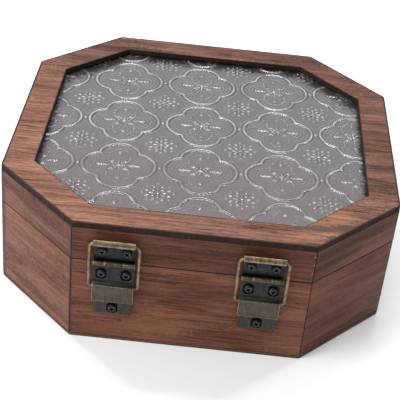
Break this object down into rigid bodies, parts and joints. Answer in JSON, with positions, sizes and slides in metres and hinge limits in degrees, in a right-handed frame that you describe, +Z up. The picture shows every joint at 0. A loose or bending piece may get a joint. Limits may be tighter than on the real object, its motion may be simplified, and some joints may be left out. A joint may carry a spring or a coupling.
{
  "type": "wooden storage box",
  "caption": "Octagonal walnut-look storage box with a hinged lid, a pressed-glass window in a flat frame, and wire toggle latches on the front.",
  "frame": {"origin": "middle of the underside", "axes": "+X to the right along the front, +Y towards the hinged back, +Z up; the latches are on the -Y side"},
  "size_m": [0.2, 0.2061, 0.07],
  "materials": {
    "walnut_side": "satin walnut-coloured board with dark cut edges",
    "walnut_top": "satin walnut-coloured board, lighter, with dark cut edges",
    "walnut_plain": "plain board",
    "pressed_glass": "clear glass pressed with a quatrefoil pattern",
    "antique_bronze": "dark antique bronze, bright on worn edges",
    "dark_steel": "dark plated steel"
  },
  "bodies": {
    "base": {"bottom_board": "walnut_plain", "base_wall_front": "walnut_side", "base_wall_front_right": "walnut_side", "base_wall_right": "walnut_side", "base_wall_back_right": "walnut_side", "base_wall_back": "walnut_side", "base_wall_back_left": "walnut_side", "base_wall_left": "walnut_side", "base_wall_front_left": "walnut_side", "latch_left_base_plate": "antique_bronze", "latch_left_pin": "dark_steel", "latch_left_plate_screw_left": "dark_steel", "latch_left_plate_screw_right": "dark_steel", "latch_left_plate_screw_bottom": "dark_steel", "latch_right_base_plate": "antique_bronze", "latch_right_pin": "dark_steel", "latch_right_plate_screw_left": "dark_steel", "latch_right_plate_screw_right": "dark_steel", "latch_right_plate_screw_bottom": "dark_steel", "hinge_left_lower_leaf": "antique_bronze", "hinge_left_pin": "dark_steel", "hinge_left_lower_screw_left": "dark_steel", "hinge_left_lower_screw_right": "dark_steel", "hinge_right_lower_leaf": "antique_bronze", "hinge_right_pin": "dark_steel", "hinge_right_lower_screw_left": "dark_steel", "hinge_right_lower_screw_right": "dark_steel"},
    "lid": {"lid_wall_front": "walnut_side", "lid_wall_front_right": "walnut_side", "lid_wall_right": "walnut_side", "lid_wall_back_right": "walnut_side", "lid_wall_back": "walnut_side", "lid_wall_back_left": "walnut_side", "lid_wall_left": "walnut_side", "lid_wall_front_left": "walnut_side", "top_frame": "walnut_top", "glass_pane": "pressed_glass", "glass_retainer": "walnut_plain", "latch_left_strike": "antique_bronze", "latch_left_strike_screw_left": "dark_steel", "latch_left_strike_screw_right": "dark_steel", "latch_right_strike": "antique_bronze", "latch_right_strike_screw_left": "dark_steel", "latch_right_strike_screw_right": "dark_steel", "hinge_left_upper_leaf": "antique_bronze", "hinge_left_upper_screw_left": "dark_steel", "hinge_left_upper_screw_right": "dark_steel", "hinge_right_upper_leaf": "antique_bronze", "hinge_right_upper_screw_left": "dark_steel", "hinge_right_upper_screw_right": "dark_steel"},
    "latch_left_lever": {"latch_left_lever": "antique_bronze"},
    "latch_left_bail": {"latch_left_bail": "antique_bronze"},
    "latch_right_lever": {"latch_right_lever": "antique_bronze"},
    "latch_right_bail": {"latch_right_bail": "antique_bronze"}
  },
  "joints": [
    {"name": "lid_hinge", "type": "hinge", "parent": "base", "child": "lid", "pos_m": [0, 0.0997, 0.0485], "axis": [-1, 0, 0], "range_deg": [0, 100]},
    {"name": "latch_left_lever_hinge", "type": "hinge", "parent": "base", "child": "latch_left_lever", "pos_m": [-0.037, -0.1004, 0.0491], "axis": [-1, 0, 0], "range_deg": [0, 75]},
    {"name": "latch_left_bail_hinge", "type": "hinge", "parent": "latch_left_lever", "child": "latch_left_bail", "pos_m": [-0.037, -0.0998, 0.035], "axis": [-1, 0, 0], "range_deg": [-39, 0]},
    {"name": "latch_right_lever_hinge", "type": "hinge", "parent": "base", "child": "latch_right_lever", "pos_m": [0.034, -0.1004, 0.0491], "axis": [-1, 0, 0], "range_deg": [0, 75]},
    {"name": "latch_right_bail_hinge", "type": "hinge", "parent": "latch_right_lever", "child": "latch_right_bail", "pos_m": [0.034, -0.0998, 0.035], "axis": [-1, 0, 0], "range_deg": [-39, 0]}
  ],
  "couplings": [
    {"joint": "latch_left_bail_hinge", "follows": "latch_left_lever_hinge", "ratio": -0.52},
    {"joint": "latch_right_bail_hinge", "follows": "latch_right_lever_hinge", "ratio": -0.52}
  ]
}
